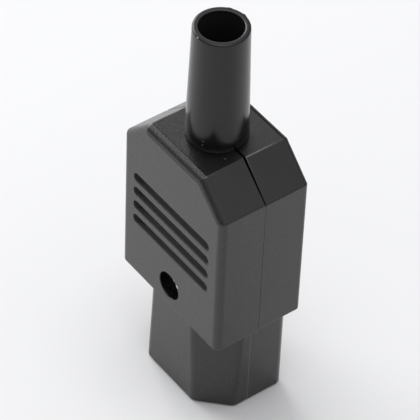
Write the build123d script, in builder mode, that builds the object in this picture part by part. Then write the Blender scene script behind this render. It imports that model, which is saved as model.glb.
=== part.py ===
from build123d import *
import os

os.makedirs("parts", exist_ok=True)

# Rewireable C13 power connector: two moulded half shells, parted at y = 0, close
# round three folded brass contacts, a cord clamp and the flange of a soft boot.
# Millimetres, +Z up. The mating face is z = 0 and the cord leaves upwards.
# The front, with the screw and the finger grooves, looks along -Y.

# Mating nose, to the 10 A connector standard
nose_width = 24.0
nose_thick = 16.0
nose_length = 19.6
nose_forward = 0.1        # the nose's middle lies this far in front of the parting plane
nose_corner = 1.6
tip_round = 0.6
key_cut_x = 5.3           # polarising cuts on the front corners, at the tip
key_cut_y = 5.2
key_cut_draft = 1.0       # the cuts are this much larger at the root
face_thick = 1.8

# The blades that the nose takes, and the room round them
blade_width = 2.0
blade_depth = 4.0
blade_spacing = 14.0      # line to neutral
earth_offset = 4.0        # earth blade in front of the line and neutral row
slot_gap_x = 0.25
slot_gap_y = 0.3
slot_lead = 0.5

# Body
body_width = 27.9
body_thick = 18.0
straight_height = 30.5
shoulder_height = 5.9
top_flat = 15.5
wall = 1.8
floor_thick = 2.3
rear_step = 0.3           # the rear half stops this much higher than the front one
seam_gap = 0.1
seam_open = 0.15          # each half falls back this far at the top, from the shoulder up
front_round = 1.35
rear_round = 0.8
shoulder_round = 1.3
low_edge_bevel = 0.25

# Lip that lines the halves up
lip_thick = 0.6
lip_reach = 1.0
lip_gap = 0.1
lip_clear = 2.5           # free length at the lip's ends

# Finger grooves in the front face
groove_count = 4
groove_pitch = 3.25
groove_length = 21.1
groove_width = 1.7
groove_depth = 0.8
groove_bevel = 0.3        # on the grooves' rims
top_groove_drop = 7.8     # first groove below the shoulder

# Housing screw, pulled into a brass insert
housing_rise = 4.7        # screw axis above the body's lower edge
recess_r = 2.65
recess_bevel = 0.15
head_below = 3.2          # top of the head below the front face
housing_head_r = 2.5
housing_head_h = 2.0
housing_shank_r = 1.5
housing_screw_length = 9.0
boss_wall = 1.35
insert_r = 2.3
insert_sink = 0.1
insert_past_tip = 0.65    # the insert runs on this far past the screw's tip

# Folded brass contacts
sheet = 0.7
grip_gap = 1.9            # between the springs, a little under a blade
mouth_gap = 2.7
channel_gap = 2.4
spring_low = 0.4          # above the inside of the face
grip_rise = 3.4
channel_rise = 8.0
channel_drop = 1.0        # the channel ends this much below the body
spring_round = 1.5
bend_round = 0.5
pocket_gap = 0.3
tail_width = 3.4
tab_height = 8.0
tab_round = 0.8
collar_inset = 0.2        # from the tab's edge
collar_height = 1.2
line_tab_rise = 10.5      # terminal screw above the body's lower edge
earth_tab_rise = 16.5
earth_ring_r = 3.3
ring_gap = 0.6
earth_gap = 0.35          # between the earth strip and each half's boss

# Ribs in the front half that keep the line and neutral contacts in place
hold_thick = 1.2
hold_height = 3.0
hold_gap = 0.2

# Terminal screws with their clamp washers
head_inset = 0.35         # from the tab's edge
head_seat = 0.7           # the head reaches this far past the shank
terminal_head_h = 2.1
terminal_reach = 3.2      # shank below the washer
washer_inset = 0.2        # from the tab's edge
washer_thick = 0.8
washer_round = 0.6
driver_slot = 0.8
driver_slot_depth = 1.0
driver_slot_past = 0.5    # the slot's cut runs this far past the head
head_bevel = 0.4
tip_bevel = 0.4
post_wall = 1.1
post_gap = 0.15           # round the collar, in the post
post_floor = 0.4
thread_gap = 0.03         # between a screw and its hole
washer_gap = 0.15

# Barriers between the terminals
barrier_thick = 0.8
barrier_gap = 0.3
barrier_low = 9.6         # above the body's lower edge
barrier_high = 20.5
barrier_front = 5.0       # reach past the parting plane

# Cord clamp
cord_r = 3.9
clamp_rise = 27.5         # above the body's lower edge
clamp_height = 5.0
clamp_side_gap = 0.4      # between the clamp and the lip
clamp_ear = 2.6
clamp_arch = 1.2
tooth_height = 0.4
tooth_base = 1.0
cradle_thick = 2.0
clamp_post_r = 2.25
clamp_head_r = 2.1
clamp_head_h = 1.8
clamp_shank_r = 1.45
clamp_screw_length = 8.0
clamp_end_round = 1.0

# Strain relief boot
boot_bore_r = 4.0
boot_top_r = 4.8
boot_root_r = 5.1
boot_height = 23.2        # above the body's top
boot_rim_bevel = 0.2
flange_r = 6.9
flange_thick = 2.4
flange_gap = 0.15
neck_gap = 0.12
rib_thick = 1.3
rib_hole_r = 4.6

# Levels and planes that follow
body_low = nose_length
base_low = body_low + rear_step
floor_z = body_low + floor_thick
shoulder_z = body_low + straight_height
top_z = shoulder_z + shoulder_height
half_gap = seam_gap / 2
outer_y = body_thick / 2
inner_y = outer_y - wall
nose_y = -nose_forward
line_y = nose_y + earth_offset / 2
earth_y = nose_y - earth_offset / 2
line_x = blade_spacing / 2
side_room = body_width / 2 - wall - lip_gap - lip_thick
clamp_screw_x = side_room - clamp_side_gap - clamp_post_r
housing_z = body_low + housing_rise
clamp_z = body_low + clamp_rise
line_tab_z = body_low + line_tab_rise
earth_tab_z = body_low + earth_tab_rise
flange_high = top_z - wall - flange_gap
flange_low = flange_high - flange_thick
rib_high = flange_low - flange_gap
rib_low = rib_high - rib_thick

# The web of each contact stands just behind its blade
line_web_y = line_y + blade_depth / 2
earth_web_y = earth_y + blade_depth / 2
pocket_half = mouth_gap / 2 + sheet + pocket_gap

# The housing screw's seat, and the bosses either side of the earth strip
head_seat_y = -outer_y + head_below + housing_head_h
cover_boss_y = earth_web_y - earth_gap
base_boss_y = earth_web_y + sheet + earth_gap
insert_length = head_seat_y + housing_screw_length + insert_past_tip - base_boss_y - insert_sink
boss_r = recess_r + boss_wall

# Each barrier stands midway between two terminals, and the tabs fill the room that is left
tab_width = line_x - barrier_thick - 2 * barrier_gap
washer_size = tab_width - 2 * washer_inset
terminal_head_r = tab_width / 2 - head_inset
terminal_shank_r = terminal_head_r - head_seat
collar_r = tab_width / 2 - collar_inset
post_hole_r = collar_r + post_gap
post_r = post_hole_r + post_wall


def wide_plane(y):
    # Plane at this depth whose drawing is the front view
    return Plane.XZ.offset(-y)


def body_outline(y, low_z):
    # Front view of the body: upright sides, sloping shoulders, flat top
    with BuildSketch(wide_plane(y)) as outline:
        with BuildLine():
            Polyline(
                (-body_width / 2, low_z),
                (-body_width / 2, shoulder_z),
                (-top_flat / 2, top_z),
                (top_flat / 2, top_z),
                (body_width / 2, shoulder_z),
                (body_width / 2, low_z),
                close=True,
            )
        make_face()
        low_corners = outline.vertices().group_by(Axis.Z)[0]
        fillet(outline.vertices() - low_corners, shoulder_round)
    return outline.sketch


def chamber_outline(y, low_z, high_z):
    # Front view of the space inside the walls, between two levels
    with BuildSketch(wide_plane(y)) as room:
        add(body_outline(y, body_low))
        offset(amount=-wall, kind=Kind.INTERSECTION)
        with Locations((0, (low_z + high_z) / 2)):
            Rectangle(body_width, high_z - low_z, mode=Mode.INTERSECT)
    return room.sketch


def half_shell(side, low_z, face_round):
    # What both halves share: walls, the rib under the boot's flange, the neck's hole
    depth = side * (outer_y - half_gap)
    room = side * (inner_y - half_gap)
    start = side * half_gap
    with BuildPart() as half:
        extrude(body_outline(start, low_z), amount=-depth)
        wide_face = half.faces().sort_by(Axis.Y)[-1 if side > 0 else 0]
        fillet(wide_face.edges().sort_by(Axis.Z)[1:], face_round)
        low_face = half.faces().sort_by(Axis.Z)[0]
        seam_edge = low_face.edges().sort_by(Axis.Y)[0 if side > 0 else -1]
        chamfer(low_face.edges() - ShapeList([seam_edge]), low_edge_bevel)
        extrude(chamber_outline(start, floor_z, top_z), amount=-room, mode=Mode.SUBTRACT)
        extrude(chamber_outline(start, rib_low, rib_high), amount=-room)
        with BuildSketch(Plane.XY.offset(rib_low)):
            Circle(rib_hole_r)
        extrude(amount=rib_thick, mode=Mode.SUBTRACT)
        with BuildSketch(Plane.XY.offset(flange_high)):
            Circle(boot_root_r + neck_gap)
        extrude(amount=top_z - flange_high, mode=Mode.SUBTRACT)
        with BuildSketch(Plane.YZ):
            with BuildLine():
                Polyline(
                    (start, shoulder_z),
                    (start + side * seam_open, top_z),
                    (start, top_z),
                    close=True,
                )
            make_face()
        extrude(amount=body_width / 2, both=True, mode=Mode.SUBTRACT)
    return half.part


def nose_outline(z, cut_x, cut_y):
    # Section of the nose: a rectangle that lost its two front corners
    rear = nose_y + nose_thick / 2
    front = nose_y - nose_thick / 2
    side = nose_width / 2
    with BuildSketch(Plane.XY.offset(z)) as outline:
        with BuildLine():
            Polyline(
                (-side, rear),
                (-side, front + cut_y),
                (-side + cut_x, front),
                (side - cut_x, front),
                (side, front + cut_y),
                (side, rear),
                close=True,
            )
        make_face()
        fillet(outline.vertices(), nose_corner)
    return outline.sketch


tip_outline = nose_outline(0, key_cut_x, key_cut_y)
root_outline = nose_outline(body_low, key_cut_x + key_cut_draft, key_cut_y + key_cut_draft)
blade_places = [(-line_x, line_y), (line_x, line_y), (0, earth_y)]
terminal_places = [
    (-line_x, line_tab_z, line_web_y),
    (line_x, line_tab_z, line_web_y),
    (0, earth_tab_z, earth_web_y),
]
clamp_places = [(-clamp_screw_x, clamp_z), (clamp_screw_x, clamp_z)]

# Rear half with the nose in one moulding
with BuildPart() as base_shell:
    loft(sections=[tip_outline, root_outline])
    tip_edges = base_shell.faces().sort_by(Axis.Z)[0].edges()
    fillet(tip_edges, tip_round)
    with BuildSketch(Plane.XY.offset(body_low)):
        add(root_outline)
        with Locations((0, half_gap + nose_thick / 2)):
            Rectangle(body_width, nose_thick, mode=Mode.INTERSECT)
    extrude(amount=rear_step)
    add(half_shell(1, base_low, rear_round))

    # Room in the floor for the earth strip's ring
    with BuildSketch(Plane.XY.offset(base_low)):
        with Locations((0, base_boss_y / 2)):
            Rectangle(2 * (earth_ring_r + pocket_gap), base_boss_y)
    extrude(amount=floor_z - base_low, mode=Mode.SUBTRACT)

    # Pockets for the contacts, with a slot for each blade through the face
    with BuildSketch(Plane.XY.offset(face_thick)):
        for x, y in blade_places:
            with Locations((x, y + (sheet + pocket_gap) / 2)):
                Rectangle(2 * pocket_half, blade_depth + sheet + 3 * pocket_gap)
    extrude(amount=floor_z - face_thick, mode=Mode.SUBTRACT)
    with BuildSketch(Plane.XY):
        with Locations(blade_places):
            Rectangle(blade_width + 2 * slot_gap_x, blade_depth + 2 * slot_gap_y)
    extrude(amount=face_thick, mode=Mode.SUBTRACT)
    slot_rims = base_shell.faces().sort_by(Axis.Z)[0].inner_wires().edges()
    chamfer(slot_rims, slot_lead)

    # Boss for the insert, posts for the terminals and the clamp's screws
    with BuildSketch(wide_plane(base_boss_y)):
        with Locations((0, housing_z)):
            Circle(boss_r)
        with Locations((0, (housing_z + floor_z) / 2)):
            Rectangle(2 * boss_r, housing_z - floor_z)
    extrude(amount=base_boss_y - inner_y)
    for x, z, web_y in terminal_places:
        with BuildSketch(wide_plane(web_y + sheet)):
            with Locations((x, z)):
                Circle(post_r)
        extrude(amount=web_y + sheet - inner_y)
    with BuildSketch(wide_plane(0)):
        with Locations(clamp_places):
            Circle(clamp_post_r)
    extrude(amount=-inner_y)

    # Barriers between the earth terminal and its neighbours
    with BuildSketch(wide_plane(-barrier_front)):
        for side in (-1, 1):
            with Locations((side * line_x / 2, body_low + (barrier_low + barrier_high) / 2)):
                Rectangle(barrier_thick, barrier_high - barrier_low)
    extrude(amount=-barrier_front - inner_y)

    # Cradle that the cord lies in, under the clamp
    with BuildSketch(Plane.XY.offset(clamp_z - cradle_thick / 2)):
        with Locations((0, inner_y / 2)):
            Rectangle(2 * clamp_screw_x, inner_y)
        Circle(cord_r, mode=Mode.SUBTRACT)
    extrude(amount=cradle_thick)

    # Holes in the boss and the posts
    with BuildSketch(wide_plane(base_boss_y)):
        with Locations((0, housing_z)):
            Circle(insert_r + thread_gap)
    extrude(amount=-insert_length - insert_sink, mode=Mode.SUBTRACT)
    for x, z, web_y in terminal_places:
        with BuildSketch(wide_plane(web_y + sheet)):
            with Locations((x, z)):
                Circle(post_hole_r)
        extrude(amount=-(terminal_reach - sheet) - post_floor, mode=Mode.SUBTRACT)
    with BuildSketch(wide_plane(0)):
        with Locations(clamp_places):
            Circle(clamp_shank_r + thread_gap)
    extrude(amount=-(clamp_screw_length - clamp_ear) - post_floor, mode=Mode.SUBTRACT)

base_shell.part.label = "base_shell"
export_step(base_shell.part, "parts/base_shell.step")

# Front half, with the finger grooves and the screw's recess
with BuildPart() as front_cover:
    add(half_shell(-1, body_low, front_round))

    # Grooves with round ends
    with BuildSketch(wide_plane(-outer_y)):
        for row in range(groove_count):
            with Locations((0, shoulder_z - top_groove_drop - row * groove_pitch)):
                SlotOverall(groove_length, groove_width)
    extrude(amount=-groove_depth, mode=Mode.SUBTRACT)
    groove_rims = front_cover.faces().sort_by(Axis.Y)[0].inner_wires().edges()
    chamfer(groove_rims, groove_bevel)

    # Notch for the earth strip, in the floor that shuts the pockets
    with BuildSketch(Plane.XY.offset(body_low)):
        with Locations((0, earth_web_y)):
            Rectangle(2 * (earth_ring_r + pocket_gap), 2 * pocket_gap + 2 * sheet)
    extrude(amount=floor_thick, mode=Mode.SUBTRACT)

    # Boss round the screw, carried down to the floor
    with BuildSketch(wide_plane(cover_boss_y)):
        with Locations((0, housing_z)):
            Circle(boss_r)
        with Locations((0, (housing_z + floor_z) / 2)):
            Rectangle(2 * boss_r, housing_z - floor_z)
    extrude(amount=inner_y + cover_boss_y)
    with BuildSketch(wide_plane(head_seat_y)):
        with Locations((0, housing_z)):
            Circle(recess_r)
    extrude(amount=head_seat_y + outer_y, mode=Mode.SUBTRACT)
    recess_rim = front_cover.faces().sort_by(Axis.Y)[0].inner_wires()
    chamfer(recess_rim.sort_by(Axis.Z)[0].edges(), recess_bevel)
    with BuildSketch(wide_plane(cover_boss_y)):
        with Locations((0, housing_z)):
            Circle(housing_shank_r + post_gap)
    extrude(amount=cover_boss_y - head_seat_y, mode=Mode.SUBTRACT)

    # Ribs that hold the line and neutral contacts down
    with BuildSketch(wide_plane(line_web_y - hold_gap)):
        with Locations((-line_x, floor_z + hold_height / 2), (line_x, floor_z + hold_height / 2)):
            Rectangle(hold_thick, hold_height)
    extrude(amount=line_web_y - hold_gap + inner_y)

    # Lip along the straight side walls, thickened to the wall on this side
    lip_height = rib_low - floor_z - 2 * lip_clear
    lip_outer = body_width / 2 - wall - lip_gap
    with BuildSketch(wide_plane(-half_gap)):
        with Locations((0, floor_z + lip_clear + lip_height / 2)):
            Rectangle(body_width - wall, lip_height)
            Rectangle(2 * (lip_outer - lip_thick), lip_height, mode=Mode.SUBTRACT)
    extrude(amount=lip_reach)
    with BuildSketch(wide_plane(-half_gap)):
        with Locations((0, floor_z + lip_clear + lip_height / 2)):
            Rectangle(2 * lip_outer, lip_height)
            Rectangle(2 * (lip_outer - lip_thick), lip_height, mode=Mode.SUBTRACT)
    extrude(amount=-lip_reach)

front_cover.part.label = "front_cover"
export_step(front_cover.part, "parts/front_cover.step")


def contact(x, row_y, tab_z):
    # Two springs folded from one sheet, whose web runs up to a tapped tab
    web_y = row_y + blade_depth / 2
    mouth_z = face_thick + spring_low
    grip_z = face_thick + grip_rise
    channel_z = face_thick + channel_rise
    channel_high = body_low - channel_drop
    with BuildPart() as brass:
        with BuildSketch(wide_plane(web_y)):
            with BuildLine():
                FilletPolyline(
                    (x + (mouth_gap + sheet) / 2, mouth_z),
                    (x + (grip_gap + sheet) / 2, grip_z),
                    (x + (channel_gap + sheet) / 2, channel_z),
                    (x + (channel_gap + sheet) / 2, channel_high),
                    radius=spring_round,
                )
            trace(line_width=sheet)
        extrude(amount=blade_depth)
        mirror(about=Plane.YZ.offset(x))
        with BuildSketch(wide_plane(web_y)):
            with Locations((x, (channel_z + channel_high) / 2)):
                Rectangle(channel_gap + 2 * sheet, channel_high - channel_z)
        extrude(amount=-sheet)
        fillet(brass.edges().filter_by(Axis.Z).group_by(Axis.Y)[-1], bend_round)
        with BuildSketch(wide_plane(web_y)):
            with Locations((x, (channel_z + tab_z) / 2)):
                Rectangle(tail_width, tab_z - channel_z)
            with Locations((x, tab_z)):
                RectangleRounded(tab_width, tab_height, tab_round)
        extrude(amount=-sheet)
        with BuildSketch(wide_plane(web_y + sheet)):
            with Locations((x, tab_z)):
                Circle(collar_r)
        extrude(amount=-collar_height)
        with BuildSketch(wide_plane(web_y)):
            with Locations((x, tab_z)):
                Circle(terminal_shank_r + thread_gap)
        extrude(amount=-sheet - collar_height, mode=Mode.SUBTRACT)
    return brass.part


def screw(x, z, seat_y, head_r, head_h, shank_r, length):
    # Slotted screw driven towards the back, its head's underside at seat_y
    with BuildPart() as steel:
        with BuildSketch(wide_plane(seat_y)):
            with Locations((x, z)):
                Circle(head_r)
        extrude(amount=head_h)
        chamfer(steel.faces().sort_by(Axis.Y)[0].edges(), head_bevel)
        with BuildSketch(wide_plane(seat_y - head_h)):
            with Locations((x, z)):
                Rectangle(2 * (head_r + driver_slot_past), driver_slot)
        extrude(amount=-driver_slot_depth, mode=Mode.SUBTRACT)
        with BuildSketch(wide_plane(seat_y)):
            with Locations((x, z)):
                Circle(shank_r)
        extrude(amount=-length)
        chamfer(steel.faces().sort_by(Axis.Y)[-1].edges(), tip_bevel)
    return steel.part


# Line and neutral contacts, the same piece on either side
with BuildPart() as line_contact:
    add(contact(line_x, line_y, line_tab_z))

line_contact.part.label = "line_contact"
export_step(line_contact.part, "parts/line_contact.step")

with BuildPart() as neutral_contact:
    add(contact(-line_x, line_y, line_tab_z))

neutral_contact.part.label = "neutral_contact"
export_step(neutral_contact.part, "parts/neutral_contact.step")

# Earth contact, with a ring in its tail that the housing screw passes through
with BuildPart() as earth_contact:
    add(contact(0, earth_y, earth_tab_z))
    with BuildSketch(wide_plane(earth_web_y)):
        with Locations((0, housing_z)):
            Circle(earth_ring_r)
    extrude(amount=-sheet)
    with BuildSketch(wide_plane(earth_web_y)):
        with Locations((0, housing_z)):
            Circle(housing_shank_r + ring_gap)
    extrude(amount=-sheet, mode=Mode.SUBTRACT)

earth_contact.part.label = "earth_contact"
export_step(earth_contact.part, "parts/earth_contact.step")

# Terminal screws, each over its square clamp washer
for pole, (x, z, web_y) in zip(("neutral", "line", "earth"), terminal_places):
    with BuildPart() as clamp_washer:
        with BuildSketch(wide_plane(web_y)):
            with Locations((x, z)):
                RectangleRounded(washer_size, washer_size, washer_round)
                Circle(terminal_shank_r + washer_gap, mode=Mode.SUBTRACT)
        extrude(amount=washer_thick)

    clamp_washer.part.label = pole + "_clamp_washer"
    export_step(clamp_washer.part, "parts/" + pole + "_clamp_washer.step")

    with BuildPart() as terminal_screw:
        seat_y = web_y - washer_thick
        reach = terminal_reach + washer_thick
        add(screw(x, z, seat_y, terminal_head_r, terminal_head_h, terminal_shank_r, reach))

    terminal_screw.part.label = pole + "_terminal_screw"
    export_step(terminal_screw.part, "parts/" + pole + "_terminal_screw.step")

# Saddle that grips the cord, with teeth inside its arch
with BuildPart() as cord_clamp:
    with BuildSketch(Plane.XY.offset(clamp_z - clamp_height / 2)):
        with Locations((0, -clamp_ear / 2)):
            Rectangle(2 * (clamp_screw_x + clamp_post_r), clamp_ear)
        Circle(cord_r + clamp_arch)
        with Locations((0, body_thick / 2)):
            Rectangle(body_width, body_thick, mode=Mode.SUBTRACT)
    extrude(amount=clamp_height)
    fillet(cord_clamp.edges().filter_by(Axis.Y).group_by(SortBy.LENGTH)[-1], clamp_end_round)
    with BuildSketch(Plane.XY.offset(clamp_z - clamp_height / 2)):
        Circle(cord_r)
    extrude(amount=clamp_height, mode=Mode.SUBTRACT)
    with BuildSketch(Plane.XZ):
        for side in (-1, 1):
            tooth_z = clamp_z + side * clamp_height / 4
            with BuildLine():
                Polyline(
                    (cord_r + tooth_height, tooth_z - tooth_base),
                    (cord_r - tooth_height, tooth_z),
                    (cord_r + tooth_height, tooth_z + tooth_base),
                    close=True,
                )
            make_face()
    revolve(axis=Axis.Z, revolution_arc=-180)
    with BuildSketch(wide_plane(0)):
        with Locations(clamp_places):
            Circle(clamp_shank_r + washer_gap)
    extrude(amount=clamp_ear, mode=Mode.SUBTRACT)

cord_clamp.part.label = "cord_clamp"
export_step(cord_clamp.part, "parts/cord_clamp.step")

for side, (x, z) in zip(("left", "right"), clamp_places):
    with BuildPart() as clamp_screw:
        add(screw(x, z, -clamp_ear, clamp_head_r, clamp_head_h, clamp_shank_r, clamp_screw_length))

    clamp_screw.part.label = side + "_clamp_screw"
    export_step(clamp_screw.part, "parts/" + side + "_clamp_screw.step")

# Housing screw, and the insert that it pulls into
with BuildPart() as housing_screw:
    head = (housing_head_r, housing_head_h)
    add(screw(0, housing_z, head_seat_y, *head, housing_shank_r, housing_screw_length))

housing_screw.part.label = "housing_screw"
export_step(housing_screw.part, "parts/housing_screw.step")

with BuildPart() as threaded_insert:
    with BuildSketch(wide_plane(base_boss_y + insert_sink)):
        with Locations((0, housing_z)):
            Circle(insert_r)
            Circle(housing_shank_r + thread_gap, mode=Mode.SUBTRACT)
    extrude(amount=-insert_length)

threaded_insert.part.label = "threaded_insert"
export_step(threaded_insert.part, "parts/threaded_insert.step")

# Soft boot: a tapered tube with a flange that the two halves trap
with BuildPart() as strain_relief_boot:
    with BuildSketch(Plane.XZ):
        with BuildLine():
            Polyline(
                (boot_bore_r, flange_low),
                (flange_r, flange_low),
                (flange_r, flange_high),
                (boot_root_r, flange_high),
                (boot_root_r, top_z),
                (boot_top_r, top_z + boot_height),
                (boot_bore_r, top_z + boot_height),
                close=True,
            )
        make_face()
    revolve(axis=Axis.Z)
    chamfer(strain_relief_boot.faces().sort_by(Axis.Z)[-1].edges(), boot_rim_bevel)

strain_relief_boot.part.label = "strain_relief_boot"
export_step(strain_relief_boot.part, "parts/strain_relief_boot.step")
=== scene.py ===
import bpy, bmesh, math
from mathutils import Matrix, Vector


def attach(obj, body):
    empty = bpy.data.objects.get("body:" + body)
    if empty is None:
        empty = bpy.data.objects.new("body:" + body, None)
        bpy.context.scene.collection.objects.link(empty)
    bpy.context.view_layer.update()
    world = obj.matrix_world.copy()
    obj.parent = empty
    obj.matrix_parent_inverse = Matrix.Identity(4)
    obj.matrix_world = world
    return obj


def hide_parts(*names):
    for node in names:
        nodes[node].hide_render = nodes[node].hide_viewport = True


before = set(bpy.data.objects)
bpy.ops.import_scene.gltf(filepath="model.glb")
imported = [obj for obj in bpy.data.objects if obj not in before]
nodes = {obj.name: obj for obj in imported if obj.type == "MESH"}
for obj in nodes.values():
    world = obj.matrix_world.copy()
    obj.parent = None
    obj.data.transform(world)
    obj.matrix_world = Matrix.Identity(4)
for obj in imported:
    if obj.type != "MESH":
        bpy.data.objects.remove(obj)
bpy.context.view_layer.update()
mm = 0.001
print("frame loaded:", len(nodes), "nodes")


# Shader maths: a wrapped socket, so that mask * 0.3 + 0.1 writes its own Math nodes
class Sock:
    def __init__(self, tree, socket):
        self.tree, self.socket = tree, socket

    def math(self, operation, a, b=0.0):
        return self.tree.add("ShaderNodeMath", {"operation": operation}, {0: a, 1: b})

    def __add__(self, other):
        return self.math("ADD", self, other)

    def __radd__(self, other):
        return self.math("ADD", other, self)

    def __sub__(self, other):
        return self.math("SUBTRACT", self, other)

    def __rsub__(self, other):
        return self.math("SUBTRACT", other, self)

    def __mul__(self, other):
        return self.math("MULTIPLY", self, other)

    def __rmul__(self, other):
        return self.math("MULTIPLY", other, self)

    def smooth(self, low, high):  # 0 below low, 1 above high, eased between
        return self.tree.add("ShaderNodeMapRange", {"interpolation_type": "SMOOTHSTEP"},
                             {"Value": self, "From Min": low, "From Max": high})


class Tree:
    def __init__(self, owner):
        owner.use_nodes = True
        self.nodes, self.links = owner.node_tree.nodes, owner.node_tree.links
        self.nodes.clear()

    def add(self, kind, settings=None, values=None, out=0):
        node = self.nodes.new(kind)
        for name, value in (settings or {}).items():
            if name == "stops":
                ramp = node.color_ramp
                while len(ramp.elements) < len(value):
                    ramp.elements.new(0.5)
                for element, (place, colour) in zip(ramp.elements, value):
                    element.position, element.color = place, colour
            else:
                setattr(node, name, value)
        for name, value in (values or {}).items():
            if isinstance(value, Sock):
                self.links.new(value.socket, node.inputs[name])
            else:
                node.inputs[name].default_value = value
        return Sock(self, node.outputs[out])

    def noise(self, place, scale, detail=2.0, rough=0.5):
        return self.add("ShaderNodeTexNoise", None,
                        {"Vector": place, "Scale": scale, "Detail": detail, "Roughness": rough})

    def blend(self, factor, a, b):
        return self.add("ShaderNodeMix", {"data_type": "RGBA"}, {0: factor, 6: a, 7: b}, out=2)

    def objectPlace(self):
        return self.add("ShaderNodeTexCoord", out=3)

    def stretched(self, place, scale):
        return self.add("ShaderNodeMapping", None, {"Vector": place, "Scale": scale})

    def near(self, place, point, radius):  # 1 at a point on the object, 0 beyond the radius
        away = self.add("ShaderNodeVectorMath", {"operation": "DISTANCE"}, {0: place, 1: point}, out=1)
        return 1 - away.smooth(radius * 0.35, radius)

    def bump(self, height, strength, distance, below=None):
        values = {"Height": height, "Strength": strength, "Distance": distance}
        if below is not None:
            values["Normal"] = below
        return self.add("ShaderNodeBump", None, values)

    def finish(self, shader):
        out = self.nodes.new("ShaderNodeOutputMaterial")
        self.links.new(shader.socket, out.inputs["Surface"])


# Camera, at the photograph's angle
camera = dict(
    place=(0.28211, -0.22259, 0.39497),
    right=(0.59333, 0.80436, 0.03105),
    up=(-0.58083, 0.40109, 0.70836),
    lens=255.57,
)


def makeCamera():
    bpy.ops.object.camera_add(location=camera["place"])
    eye = bpy.context.object
    eye.name = "studioCamera"
    right, up = Vector(camera["right"]).normalized(), Vector(camera["up"]).normalized()
    back = right.cross(up)
    turn = Matrix((right, up, back)).transposed()
    eye.matrix_world = Matrix.Translation(camera["place"]) @ turn.to_4x4()
    eye.data.sensor_width, eye.data.lens = 36.0, camera["lens"]
    eye.data.clip_start, eye.data.clip_end = 0.01, 20
    bpy.context.scene.camera = eye


makeCamera()

# Studio: pale sweep, and pale surroundings with a level of their own for each side
studio = dict(
    floorSize=6.0,
    floorColour=(0.765, 0.765, 0.772, 1),
    floorPaler=(0.795, 0.795, 0.8, 1),
    skyColour=(0.98, 0.985, 1.0, 1),
    skyForShade=0.85,      # what matt surfaces get of it; gloss gets all
    low=0.1,               # near the horizon
    left=0.75,             # the four sides, from there up to the ceiling
    right=0.7,
    front=0.4,
    back=0.5,
    ceiling=0.9,
    lamps=[
        # name, place, aimed at, width, depth, watts
        ("leftLamp", (-1.35, -0.05, 0.75), (0, 0, 0.03), 1.3, 1.0, 21),
        ("overLamp", (0.05, 0.0, 1.8), (0, 0, 0.03), 1.0, 1.0, 8.5),
    ],
)


def makeStudio():
    world = bpy.data.worlds.new("paleRoom")
    bpy.context.scene.world = world
    tree = Tree(world)
    rays = tree.nodes.new("ShaderNodeLightPath")
    seen = Sock(tree, rays.outputs["Is Camera Ray"])
    gloss = Sock(tree, rays.outputs["Is Glossy Ray"])
    through = Sock(tree, rays.outputs["Is Transmission Ray"])
    direction = tree.add("ShaderNodeTexCoord")
    x, y, z = (tree.add("ShaderNodeSeparateXYZ", None, {0: direction}, out=axis) for axis in range(3))
    sides = 0.0
    for part, name in ((x * -1, "left"), (x, "right"), (y * -1, "front"), (y, "back")):
        share = part.math("MAXIMUM", part, 0.0)
        sides = share * share * studio[name] + sides
    flat = x * x + y * y
    sides = flat.math("DIVIDE", sides, flat + 0.0001)
    low = 1 - z.smooth(0.0, 0.35)
    ceiling = z.smooth(0.6, 0.92)
    sky = low * studio["low"] + ceiling * studio["ceiling"] + (1 - low - ceiling) * sides
    shiny = gloss.math("MAXIMUM", gloss, through)
    level = sky * (shiny * (1 - studio["skyForShade"]) + studio["skyForShade"])
    level = level * (1 - seen) + seen
    glow = tree.add("ShaderNodeBackground", None, {"Color": studio["skyColour"], "Strength": level})
    out = tree.nodes.new("ShaderNodeOutputWorld")
    tree.links.new(glow.socket, out.inputs["Surface"])

    bpy.ops.mesh.primitive_plane_add(size=studio["floorSize"])
    floor = bpy.context.object
    floor.name = "studioFloor"
    paper = bpy.data.materials.new("paleSweep")
    tree = Tree(paper)
    place = tree.objectPlace()
    tone = tree.noise(place, 3.0, 2.0)
    colour = tree.blend(tone, studio["floorColour"], studio["floorPaler"])
    surface = tree.add("ShaderNodeBsdfPrincipled", None,
                       {"Base Color": colour, "Roughness": 0.9, "Specular IOR Level": 0.2})
    tree.finish(surface)
    floor.data.materials.append(paper)

    for name, place, aim, width, depth, watts in studio["lamps"]:
        bpy.ops.object.light_add(type="AREA", location=place)
        lamp = bpy.context.object
        lamp.name = name
        lamp.data.shape = "RECTANGLE"
        lamp.data.size, lamp.data.size_y = width, depth
        lamp.data.energy = watts
        lamp.rotation_euler = (Vector(place) - Vector(aim)).to_track_quat("Z", "Y").to_euler()


makeStudio()
print("studio ready")

# Finishes
shell = dict(
    colour=(0.004, 0.004, 0.0045, 1),
    paler=(0.008, 0.008, 0.0085, 1),
    roughness=0.27,
    hollowPaler=(0.06, 0.06, 0.062, 1),  # painted fill light: a paler colour that lifts the shade in the grooves and the recess
    # painted fill light in the parting gap, lifting its shade to a faint dark line
    seamPaintedFill=(0.07, 0.07, 0.07, 1),
    # pale colour of the painted glints on the recess's rim, and of a faint dust speck
    fleck=(0.85, 0.85, 0.84, 1),
    flecks=[
        # place in mm, radius, strength
        ((2.2, -8.95, 25.95), 0.5, 1.0),  # painted glint on the recess's rim
        # painted glint on the recess's rim
        ((1.3, -8.95, 26.7), 0.3, 0.8),
        # a faint dust speck
        ((6.05, -2.8, 56.0), 0.22, 0.1),
    ],
    grainScale=5200,       # spark texture of the mould
    grainHeight=0.03 * mm,
)


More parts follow.
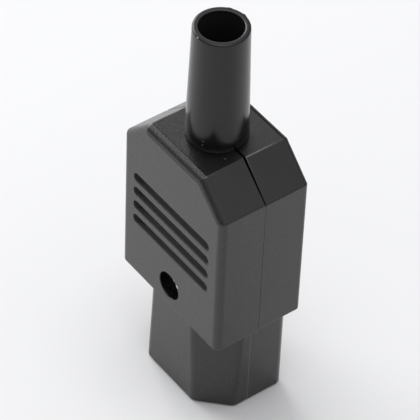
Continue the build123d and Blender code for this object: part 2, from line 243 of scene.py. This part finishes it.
def shellPlastic():
    material = bpy.data.materials.new("sparkedPlastic")
    tree = Tree(material)
    place = tree.objectPlace()
    fine = tree.noise(place, shell["grainScale"], 2.0, 0.6)
    coarse = tree.noise(place, shell["grainScale"] * 0.35, 2.0, 0.5)
    cloud = tree.noise(place, 110, 3.0, 0.55)
    colour = tree.blend(cloud.smooth(0.35, 0.7), shell["colour"], shell["paler"])
    across, depth, height = (tree.add("ShaderNodeSeparateXYZ", None, {0: place}, out=axis) for axis in range(3))
    aside = across.math("ABSOLUTE", across)
    grooved = height.smooth(30 * mm, 31 * mm) * (1 - height.smooth(44 * mm, 45 * mm))
    grooved = grooved * (1 - aside.smooth(11.0 * mm, 11.4 * mm)) * (1 - depth.smooth(-7.9 * mm, -7.7 * mm))
    # painted fill light in the grooves' deep part, lifting their shade
    colour = tree.blend(grooved * depth.smooth(-8.6 * mm, -8.2 * mm), colour, shell["hollowPaler"])
    offSeam = depth.math("ABSOLUTE", depth)
    inSeam = (1 - offSeam.smooth(0.055 * mm, 0.1 * mm)) * (1 - height.smooth(48 * mm, 50 * mm))
    # painted fill light along the parting gap, lifting its shade
    colour = tree.blend(inSeam, colour, shell["seamPaintedFill"])
    # painted fill light inside the screw recess, lifting its shade
    colour = tree.blend(tree.near(place, (0, -4.5 * mm, 24.3 * mm), 4.2 * mm), colour, shell["hollowPaler"])
    for point, radius, strength in shell["flecks"]:
        # the flecks on the recess's rim are painted glints
        colour = tree.blend(tree.near(place, [value * mm for value in point], radius * mm) * strength, colour, shell["fleck"])
    rough = fine * 0.10 + cloud * 0.08 + (shell["roughness"] - 0.09)
    rough = rough + grooved * depth.smooth(-8.99 * mm, -8.9 * mm) * 0.4
    normal = tree.bump(fine * 0.7 + coarse * 0.8, 0.7, shell["grainHeight"])
    tree.finish(tree.add("ShaderNodeBsdfPrincipled", None, {
        "Base Color": colour, "Roughness": rough, "IOR": 1.6, "Normal": normal}))
    return material


boot = dict(
    bore=4.0, lip=3.85, top=4.8, foot=5.42, root=5.1, flange=6.9,
    flangeLow=51.65, flangeHigh=54.05, body=56.0, rim=79.2,
    round=0.22, lipRound=0.1,
    flash=[(127, 0.13), (92, 0.16)],  # bits left on the rim: degrees round it, and how far out
    sides=96,
    colour=(0.0035, 0.0035, 0.0042, 1),
    paler=(0.006, 0.006, 0.007, 1),
    hollowPaler=(0.02, 0.02, 0.02, 1),  # a paler colour inside the bore
    fleck=(0.6, 0.6, 0.6, 1),
    flecks=[((-0.01, -4.75, 79.05), 0.22, 0.55), ((2.5, -4.74, 58.16), 0.22, 0.15), ((2.44, -4.8, 57.37), 0.25, 0.15)],
    roughness=0.22,
)


def bootRubber():
    material = bpy.data.materials.new("smoothPvc")
    tree = Tree(material)
    place = tree.objectPlace()
    wave = tree.noise(place, 160, 3.0, 0.5)
    fine = tree.noise(place, 2600, 2.0, 0.5)
    long = tree.noise(tree.stretched(place, (420, 420, 60)), 1.0, 2.0, 0.5)
    colour = tree.blend(wave, boot["colour"], boot["paler"])
    x, y = (tree.add("ShaderNodeSeparateXYZ", None, {0: place}, out=axis) for axis in (0, 1))
    out = x * x + y * y
    inBore = 1 - out.smooth(17 * mm * mm, 19 * mm * mm)
    colour = tree.blend(inBore, colour, boot["hollowPaler"])
    for point, radius, strength in boot["flecks"]:
        colour = tree.blend(tree.near(place, [value * mm for value in point], radius * mm) * strength, colour, boot["fleck"])
    rough = wave * 0.08 + fine * 0.06 + (boot["roughness"] - 0.07)
    normal = tree.bump(long * 0.6 + fine * 0.25, 0.25, 0.02 * mm)
    tree.finish(tree.add("ShaderNodeBsdfPrincipled", None, {
        "Base Color": colour, "Roughness": rough, "IOR": 1.45, "Normal": normal}))
    return material


metals = dict(
    brass=((0.62, 0.42, 0.16, 1), (0.72, 0.53, 0.24, 1), 0.28),
    steel=((0.56, 0.56, 0.55, 1), (0.68, 0.68, 0.67, 1), 0.32),
)


def metal(name):
    base, paler, roughness = metals[name]
    material = bpy.data.materials.new(name + "Finish")
    tree = Tree(material)
    place = tree.objectPlace()
    brushed = tree.noise(tree.stretched(place, (700, 700, 6000)), 1.0, 2.0, 0.6)
    stain = tree.noise(place, 300, 3.0, 0.6)
    colour = tree.blend(stain.smooth(0.3, 0.75), base, paler)
    rough = brushed * 0.16 + stain * 0.10 + (roughness - 0.12)
    normal = tree.bump(brushed, 0.3, 0.006 * mm)
    tree.finish(tree.add("ShaderNodeBsdfPrincipled", None, {
        "Base Color": colour, "Roughness": rough, "Metallic": 1.0, "Normal": normal}))
    return material


plastic, rubber, brass, steel = shellPlastic(), bootRubber(), metal("brass"), metal("steel")
finishOf = {"base_shell": plastic, "front_cover": plastic, "cord_clamp": plastic, "strain_relief_boot": rubber}
for name, piece in nodes.items():
    finish = finishOf.get(name) or (brass if name.endswith("contact") or name.endswith("insert") else steel)
    for slot in piece.material_slots:
        slot.material = finish
print("finishes on the CAD pieces")


def startEditing(piece):
    bpy.ops.object.select_all(action="DESELECT")
    piece.select_set(True)
    bpy.context.view_layer.objects.active = piece
    bpy.ops.object.mode_set(mode="EDIT")


# Moulded halves: the CAD shape merged into one skin, its shoulder edges rounded a little
halves = dict(
    mergeWithin=0.002 * mm,
    corners=[((7.75, 56.0), (0.371, 0.929)), ((13.95, 50.1), (0.919, 0.394))],  # x and z, and the way outwards
    reach=1.55,            # how far in from the corner its crease runs, over the face's rounding
    edgeRound=0.26,
    lowEdges=(19.85, 20.15), lowRound=0.15,
    edgeSteps=3,
    sharpFrom=50,          # degrees between faces
    faces=[(0.0, 1.0, 56.0), (0.6894, 0.7244, 45.9088), (1.0, 0.0, 13.95)],  # top, shoulder and side: way out, distance
    depth=9.0, frontRound=1.35, rearRound=0.8, roundedFrom=20.5,
)
grooves = dict(
    rows=(42.3, 39.05, 35.8, 32.55),
    halfLength=9.7,        # of the middle line, without the round ends
    rimLevel=-9.0, rim=1.15, newRim=1.02,
    floorLevel=-8.2, newFloor=-8.0,
)


def onCrease(point):
    x, z = abs(point.x) / mm, point.z / mm
    for (cornerX, cornerZ), (outX, outZ) in halves["corners"]:
        inwards = (cornerX - x) * outX + (cornerZ - z) * outZ
        aside = (cornerX - x) * outZ - (cornerZ - z) * outX
        if abs(aside) < 0.03 and -0.03 < inwards < halves["reach"]:
            return True
    return False


# Brings back what the bevel pushed out of the faces' roundings
def ontoRounding(corner):
    x, y, z = (abs(value) / mm for value in corner.co)
    soft = halves["frontRound"] if corner.co.y < 0 else halves["rearRound"]
    inside, outX, outZ = min((level - x * outX - z * outZ, outX, outZ) for outX, outZ, level in halves["faces"])
    behind = halves["depth"] - y
    reach = math.hypot(soft - inside, soft - behind)
    if inside < soft and behind < soft and reach > soft + 0.004:
        back = soft - (soft - inside) * soft / reach - inside
        y = halves["depth"] - soft + (soft - behind) * soft / reach
    elif inside < -0.001 or behind < -0.001:
        back, y = max(0.0, -inside), min(y, halves["depth"])
    else:
        return
    if z > halves["roundedFrom"]:
        x, z = x - outX * back, z - outZ * back
        corner.co = (math.copysign(x * mm, corner.co.x), math.copysign(y * mm, corner.co.y), z * mm)


def onLowEdge(point):
    x, y, z = (abs(value) / mm for value in point)
    return (x > 12.5 or y > 7.5) and min(abs(z - level) for level in halves["lowEdges"]) < 0.02


# Pulls the grooves' rims in, so that their bevel is steep, and sinks their floors
def deepenGrooves(mesh):
    for corner in mesh.verts:
        x, y, z = (value / mm for value in corner.co)
        nearX = max(-grooves["halfLength"], min(grooves["halfLength"], x))
        nearZ = min(grooves["rows"], key=lambda row: abs(row - z))
        away = math.hypot(x - nearX, z - nearZ)
        if abs(y - grooves["floorLevel"]) < 0.02 and away < grooves["rim"]:
            corner.co.y = grooves["newFloor"] * mm
        if abs(y - grooves["rimLevel"]) < 0.02 and abs(away - grooves["rim"]) < 0.05:
            pull = grooves["newRim"] / away
            corner.co.x, corner.co.z = (nearX + (x - nearX) * pull) * mm, (nearZ + (z - nearZ) * pull) * mm


def makeHalf(name, pieceName):
    skin = bpy.data.objects.new(pieceName, nodes[name].data.copy())
    bpy.context.scene.collection.objects.link(skin)
    startEditing(skin)
    bpy.ops.mesh.select_all(action="SELECT")
    bpy.ops.mesh.customdata_custom_splitnormals_clear()
    bpy.ops.mesh.remove_doubles(threshold=halves["mergeWithin"])
    bpy.ops.mesh.dissolve_limited(angle_limit=math.radians(0.3))
    bpy.ops.mesh.normals_make_consistent(inside=False)
    bpy.ops.mesh.select_mode(type="EDGE")
    bpy.ops.mesh.select_all(action="DESELECT")
    mesh = bmesh.from_edit_mesh(skin.data)
    for edge in mesh.edges:
        creased = len(edge.link_faces) == 2 and edge.calc_face_angle() > math.radians(4)
        edge.select = creased and all(onCrease(corner.co) for corner in edge.verts)
    print(pieceName, "creases", sum(edge.select for edge in mesh.edges))
    bmesh.update_edit_mesh(skin.data)
    bpy.ops.mesh.bevel(offset=halves["edgeRound"] * mm, segments=halves["edgeSteps"])
    mesh = bmesh.from_edit_mesh(skin.data)
    for edge in mesh.edges:
        creased = len(edge.link_faces) == 2 and 0.5 < edge.calc_face_angle() < 1.1
        edge.select = creased and all(onLowEdge(corner.co) for corner in edge.verts)
    print(pieceName, "low edges", sum(edge.select for edge in mesh.edges))
    bmesh.update_edit_mesh(skin.data)
    bpy.ops.mesh.bevel(offset=halves["lowRound"] * mm, segments=halves["edgeSteps"])
    mesh = bmesh.from_edit_mesh(skin.data)
    for corner in mesh.verts:
        ontoRounding(corner)
    bmesh.update_edit_mesh(skin.data)
    if name == "front_cover":
        mesh = bmesh.from_edit_mesh(skin.data)
        deepenGrooves(mesh)
        bmesh.update_edit_mesh(skin.data)
    bpy.ops.object.mode_set(mode="OBJECT")
    bpy.ops.object.shade_smooth_by_angle(angle=math.radians(halves["sharpFrom"]))
    weighted = skin.modifiers.new("byArea", "WEIGHTED_NORMAL")
    weighted.keep_sharp = True
    bpy.ops.object.modifier_apply(modifier=weighted.name)
    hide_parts(name)
    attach(skin, "root")
    return skin


makeHalf("base_shell", "rearHalf")
makeHalf("front_cover", "frontHalf")
print("halves made")


# Soft boot, in place of the CAD tube
def makeBoot():
    bpy.ops.object.select_all(action="DESELECT")
    bpy.ops.mesh.primitive_circle_add(vertices=boot["sides"], radius=boot["bore"] * mm,
                                      location=(0, 0, boot["flangeLow"] * mm))
    tube = bpy.context.object
    tube.name = "softBoot"
    bpy.ops.object.transform_apply(location=True, rotation=True, scale=True)
    startEditing(tube)
    bpy.ops.mesh.select_all(action="SELECT")
    soft = boot["round"]
    rim, low, high, body = boot["rim"], boot["flangeLow"], boot["flangeHigh"], boot["body"]
    slope = (boot["top"] - boot["foot"]) / (rim - body)
    rings = [(boot["bore"] + soft, low), (boot["flange"] - soft, low), (boot["flange"], low + soft),
             (boot["flange"], high - soft), (boot["flange"] - soft, high), (boot["root"] + soft, high),
             (boot["root"], high + soft), (boot["root"], body + 0.03), (boot["foot"] - 0.1, body + 0.03)]
    steps = 14
    for step in range(steps + 1):
        z = body + 0.13 + (rim - 0.63 - body) * step / steps
        rings.append((boot["foot"] + slope * (z - body), z))
    lip, lipSoft = boot["lip"], boot["lipRound"]
    rings += [(boot["top"], rim - soft), (boot["top"] - soft * 0.3, rim - soft * 0.3), (boot["top"] - soft, rim),
              (lip + lipSoft, rim), (lip + lipSoft * 0.3, rim - lipSoft * 0.3), (lip, rim - lipSoft),
              (lip, rim - 0.35), (boot["bore"], rim - 0.6)]
    for step in range(steps + 1):
        rings.append((boot["bore"], rim - 0.8 - (rim - 1.6 - low) * step / steps))
    radius, height = boot["bore"], low
    for nextRadius, nextHeight in rings:
        bpy.ops.mesh.extrude_region_move(
            TRANSFORM_OT_translate={"value": (0, 0, (nextHeight - height) * mm)})
        scale = nextRadius / radius
        bpy.ops.transform.resize(value=(scale, scale, 1), center_override=(0, 0, nextHeight * mm))
        radius, height = nextRadius, nextHeight
    mesh = bmesh.from_edit_mesh(tube.data)
    for edge in mesh.edges:  # the first ring and the last one, still open
        edge.select = edge.is_boundary
    bmesh.update_edit_mesh(tube.data)
    bpy.ops.mesh.bridge_edge_loops()
    bpy.ops.mesh.select_all(action="SELECT")
    bpy.ops.mesh.remove_doubles(threshold=0.00001)
    bpy.ops.mesh.normals_make_consistent(inside=False)
    mesh = bmesh.from_edit_mesh(tube.data)
    for corner in mesh.verts:
        radius = math.hypot(corner.co.x, corner.co.y)
        if corner.co.z < (rim - 0.45) * mm or radius < (boot["top"] - soft - 0.05) * mm:
            continue
        for degrees, height in boot["flash"]:
            turn = math.degrees(math.atan2(corner.co.y, corner.co.x)) - degrees
            push = 1 + height * mm / radius * max(0.0, 1 - abs(turn) / 7)
            corner.co.x, corner.co.y = corner.co.x * push, corner.co.y * push
    bmesh.update_edit_mesh(tube.data)
    bpy.ops.object.mode_set(mode="OBJECT")
    bpy.ops.object.shade_smooth()
    tube.data.materials.append(rubber)
    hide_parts("strain_relief_boot")
    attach(tube, "root")
    return tube


makeBoot()
print("boot made")

bpy.context.scene.view_settings.view_transform = "Standard"
